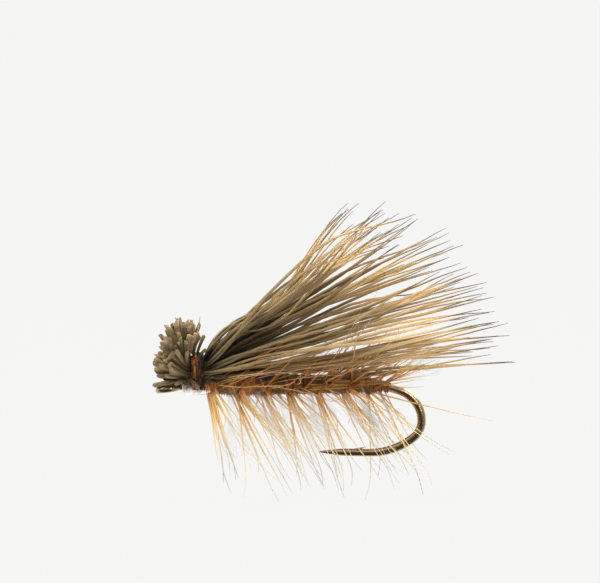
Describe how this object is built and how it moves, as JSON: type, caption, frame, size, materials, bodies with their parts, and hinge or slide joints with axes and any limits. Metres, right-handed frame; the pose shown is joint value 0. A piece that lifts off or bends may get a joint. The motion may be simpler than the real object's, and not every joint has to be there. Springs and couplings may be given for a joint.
{
  "type": "dry fly",
  "caption": "Dry fly: barbed hook with a turned-down ring eye, ribbed dubbed body, palmered hackle, and a flared hair wing whose cut butts form the head.",
  "frame": {"origin": "centre of the hook eye's bore", "axes": "+X along the shank from the eye to the bend; +Z towards the wing, away from the hook point; +Y completes the right hand"},
  "size_m": [0.0227, 0.0135, 0.0178],
  "materials": {
    "hook_wire": "bronzed high-carbon steel wire, satin",
    "thread": "waxed rust-brown tying thread",
    "dubbing": "fuzzy rust-brown fur dubbing",
    "rib": "fine pale wire",
    "hackle": "ginger cock hackle, slightly translucent",
    "elk_hair": "natural elk hair: grey-brown base, golden outer third, dark fine tip",
    "cement": "clear glossy head cement"
  },
  "bodies": {
    "root": {"dubbed_body": "dubbing", "elk_hair_row_01": "elk_hair", "elk_hair_row_02": "elk_hair", "elk_hair_row_03": "elk_hair", "elk_hair_row_04": "elk_hair", "elk_hair_row_05": "elk_hair", "elk_hair_row_06": "elk_hair", "elk_hair_row_07": "elk_hair", "elk_hair_row_08": "elk_hair", "elk_hair_row_09": "elk_hair", "elk_hair_row_10": "elk_hair", "elk_hair_row_11": "elk_hair", "hackle_barbs_1": "hackle", "hackle_barbs_2": "hackle", "hackle_barbs_3": "hackle", "hackle_barbs_4": "hackle", "hackle_barbs_5": "hackle", "hackle_barbs_6": "hackle", "hackle_stem": "hackle", "head_cement": "cement", "hook": "hook_wire", "rear_tie_in": "thread", "rib_wire": "rib", "stray_hairs": "elk_hair", "thread_base": "thread", "thread_collar": "thread", "whip_finish": "thread"}
  },
  "joints": []
}
